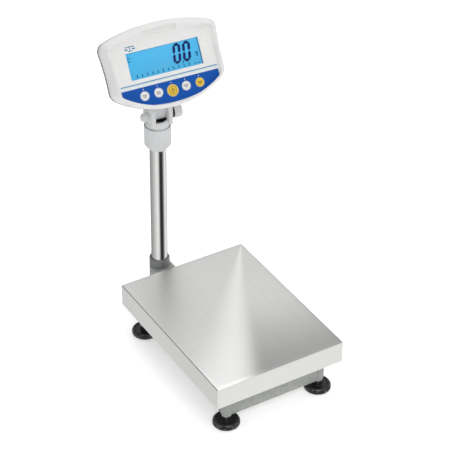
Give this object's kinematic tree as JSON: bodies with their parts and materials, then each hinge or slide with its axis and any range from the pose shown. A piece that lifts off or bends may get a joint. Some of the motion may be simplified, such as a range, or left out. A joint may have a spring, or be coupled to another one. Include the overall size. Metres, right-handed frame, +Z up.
{
  "type": "bench scale",
  "caption": "Bench weighing scale with a stainless platform on levelling feet, a rear column and a tilting indicator head with display and round keys.",
  "frame": {"origin": "centre of the object's box, on the surface that it stands on", "axes": "+Z up, -Y towards the user who faces the platform's front edge, +X to that user's right"},
  "size_m": [0.3, 0.5504, 0.6725],
  "materials": {
    "frame_paint": "semi-matt grey powder coat",
    "stainless": "brushed",
    "polished_steel": "polished",
    "alloy": "machined",
    "zinc_steel": "zinc plated",
    "black_plastic": "moulded, matt",
    "black_rubber": "matt",
    "level_liquid": "clear yellow-green",
    "housing_white": "fine satin texture",
    "clamp_white": "satin",
    "display_window": "clear window",
    "display_blue": "backlit",
    "keypad_blue": "printed film",
    "key_white": "satin",
    "key_yellow": "satin",
    "board_green": "solder mask",
    "battery_grey": "matt"
  },
  "bodies": {
    "base": {"front_beam": "frame_paint", "rear_beam": "frame_paint", "side_beams": "frame_paint", "foot_bosses": "frame_paint", "cell_rail": "frame_paint", "cell_spacer_lower": "alloy", "load_cell": "alloy", "cell_spacer_upper": "alloy", "cell_bolts": "zinc_steel", "carrier_plate": "frame_paint", "carrier_bars": "frame_paint", "carrier_rails": "frame_paint", "pan_buttons": "black_rubber", "overload_stops": "zinc_steel", "stop_nuts": "zinc_steel", "foot_lock_nuts": "zinc_steel", "arm_flange": "frame_paint", "arm_bolts": "zinc_steel", "rear_arm": "frame_paint", "column_socket": "frame_paint", "socket_screws": "zinc_steel", "column_tube": "polished_steel", "level_holder": "black_plastic", "level_vial": "level_liquid", "swivel_spigot": "alloy", "swivel_ring": "alloy"},
    "platform": {"pan": "stainless", "pan_stiffeners": "stainless"},
    "sleeve": {"clamp_sleeve": "clamp_white"},
    "yoke": {"yoke": "clamp_white", "pivot_bolt": "zinc_steel", "pivot_cap": "clamp_white", "pivot_washer": "black_rubber"},
    "knob": {"clamp_knob": "clamp_white"},
    "head": {"tilt_bracket": "clamp_white", "bracket_screws": "zinc_steel", "rear_housing": "housing_white", "head_gasket": "black_rubber", "front_bezel": "housing_white", "housing_screws": "zinc_steel", "display_lens": "display_window", "display_module": "display_blue", "keypad_overlay": "keypad_blue", "circuit_board": "board_green", "battery_pack": "battery_grey", "connector_plate": "zinc_steel", "connectors": "black_plastic"},
    "foot_front_left": {"foot_pad_front_left": "black_plastic", "foot_stud_front_left": "zinc_steel"},
    "foot_front_right": {"foot_pad_front_right": "black_plastic", "foot_stud_front_right": "zinc_steel"},
    "foot_rear_left": {"foot_pad_rear_left": "black_plastic", "foot_stud_rear_left": "zinc_steel"},
    "foot_rear_right": {"foot_pad_rear_right": "black_plastic", "foot_stud_rear_right": "zinc_steel"},
    "key_1": {"key_1": "key_white"},
    "key_2": {"key_2": "key_white"},
    "key_3": {"key_3": "key_yellow"},
    "key_4": {"key_4": "key_white"},
    "key_5": {"key_5": "key_yellow"}
  },
  "joints": [
    {"name": "platform_lift", "type": "slide", "parent": "base", "child": "platform", "axis": [0, 0, 1], "range_m": [0, 0.08]},
    {"name": "foot_turn_front_left", "type": "hinge", "parent": "base", "child": "foot_front_left", "pos_m": [-0.111, -0.24566, 0.006], "axis": [0, 0, 1], "continuous": true},
    {"name": "foot_turn_front_right", "type": "hinge", "parent": "base", "child": "foot_front_right", "pos_m": [0.111, -0.24566, 0.006], "axis": [0, 0, 1], "continuous": true},
    {"name": "foot_turn_rear_left", "type": "hinge", "parent": "base", "child": "foot_rear_left", "pos_m": [-0.111, 0.09534, 0.006], "axis": [0, 0, 1], "continuous": true},
    {"name": "foot_turn_rear_right", "type": "hinge", "parent": "base", "child": "foot_rear_right", "pos_m": [0.111, 0.09534, 0.006], "axis": [0, 0, 1], "continuous": true},
    {"name": "sleeve_turn", "type": "hinge", "parent": "base", "child": "sleeve", "pos_m": [0, 0.22684, 0.4], "axis": [0, 0, 1], "continuous": true},
    {"name": "head_swivel", "type": "hinge", "parent": "base", "child": "yoke", "pos_m": [0, 0.22684, 0.4047], "axis": [0, 0, 1], "range_deg": [-170, 170]},
    {"name": "head_tilt", "type": "hinge", "parent": "yoke", "child": "head", "pos_m": [0, 0.22684, 0.452], "axis": [0.9976, -0.0698, 0], "range_deg": [-25, 32]},
    {"name": "clamp_knob_turn", "type": "hinge", "parent": "yoke", "child": "knob", "pos_m": [0, 0.22684, 0.452], "axis": [0.9976, -0.0698, 0], "continuous": true},
    {"name": "key_1_press", "type": "slide", "parent": "head", "child": "key_1", "axis": [0.0592, 0.846, -0.5299], "range_m": [0, 0.0008], "stiffness_N_per_m": 600, "springref_m": -0.0006},
    {"name": "key_2_press", "type": "slide", "parent": "head", "child": "key_2", "axis": [0.0592, 0.846, -0.5299], "range_m": [0, 0.0008], "stiffness_N_per_m": 600, "springref_m": -0.0006},
    {"name": "key_3_press", "type": "slide", "parent": "head", "child": "key_3", "axis": [0.0592, 0.846, -0.5299], "range_m": [0, 0.0008], "stiffness_N_per_m": 600, "springref_m": -0.0006},
    {"name": "key_4_press", "type": "slide", "parent": "head", "child": "key_4", "axis": [0.0592, 0.846, -0.5299], "range_m": [0, 0.0008], "stiffness_N_per_m": 600, "springref_m": -0.0006},
    {"name": "key_5_press", "type": "slide", "parent": "head", "child": "key_5", "axis": [0.0592, 0.846, -0.5299], "range_m": [0, 0.0008], "stiffness_N_per_m": 600, "springref_m": -0.0006}
  ]
}
